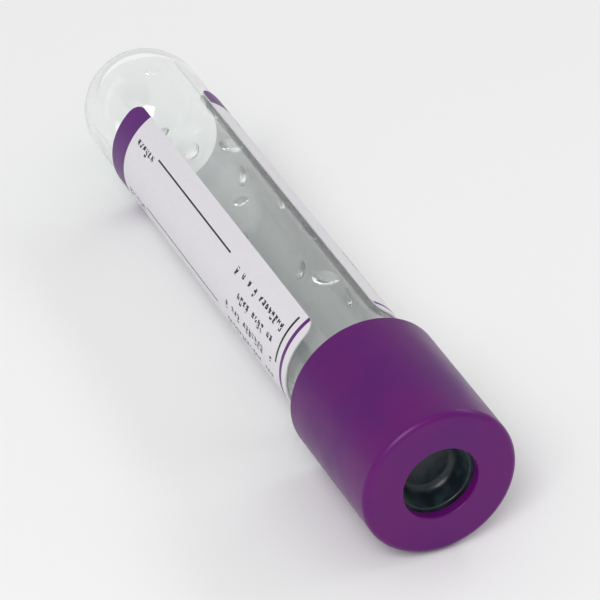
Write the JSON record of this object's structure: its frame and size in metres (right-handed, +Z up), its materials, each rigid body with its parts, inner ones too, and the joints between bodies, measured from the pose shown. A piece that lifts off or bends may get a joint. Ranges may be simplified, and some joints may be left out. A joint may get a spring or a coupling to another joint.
{
  "type": "blood collection tube",
  "caption": "Evacuated round-bottomed glass tube for a blood sample, closed by a rubber stopper inside a purple plastic shield, with a paper label and liquid additive inside.",
  "frame": {"origin": "on the surface the tube lies on, below the middle of its length", "axes": "+X along the tube towards the capped end, +Z up, +Y across the tube. The tube's own axis climbs by 1.52 degrees towards +X, because the shield is wider than the glass and both touch the surface."},
  "size_m": [0.08, 0.016, 0.0164],
  "materials": {
    "glass": "polished clear",
    "stopper_rubber": "satin",
    "shield_plastic": "satin",
    "label_paper": "coated",
    "additive_liquid": "wet clear"
  },
  "bodies": {
    "tube": {"glass_tube": "glass", "paper_label": "label_paper", "additive_droplets": "additive_liquid"},
    "stopper": {"rubber_stopper": "stopper_rubber"},
    "shield": {"cap_shield": "shield_plastic"}
  },
  "joints": [
    {"name": "closure_pull", "type": "slide", "parent": "tube", "child": "stopper", "axis": [0.9996, 0, 0.0266], "range_m": [0, 0.018]},
    {"name": "shield_twist", "type": "hinge", "parent": "stopper", "child": "shield", "pos_m": [0.03854, 0, 0.00842], "axis": [0.9996, 0, 0.0266], "continuous": true}
  ]
}
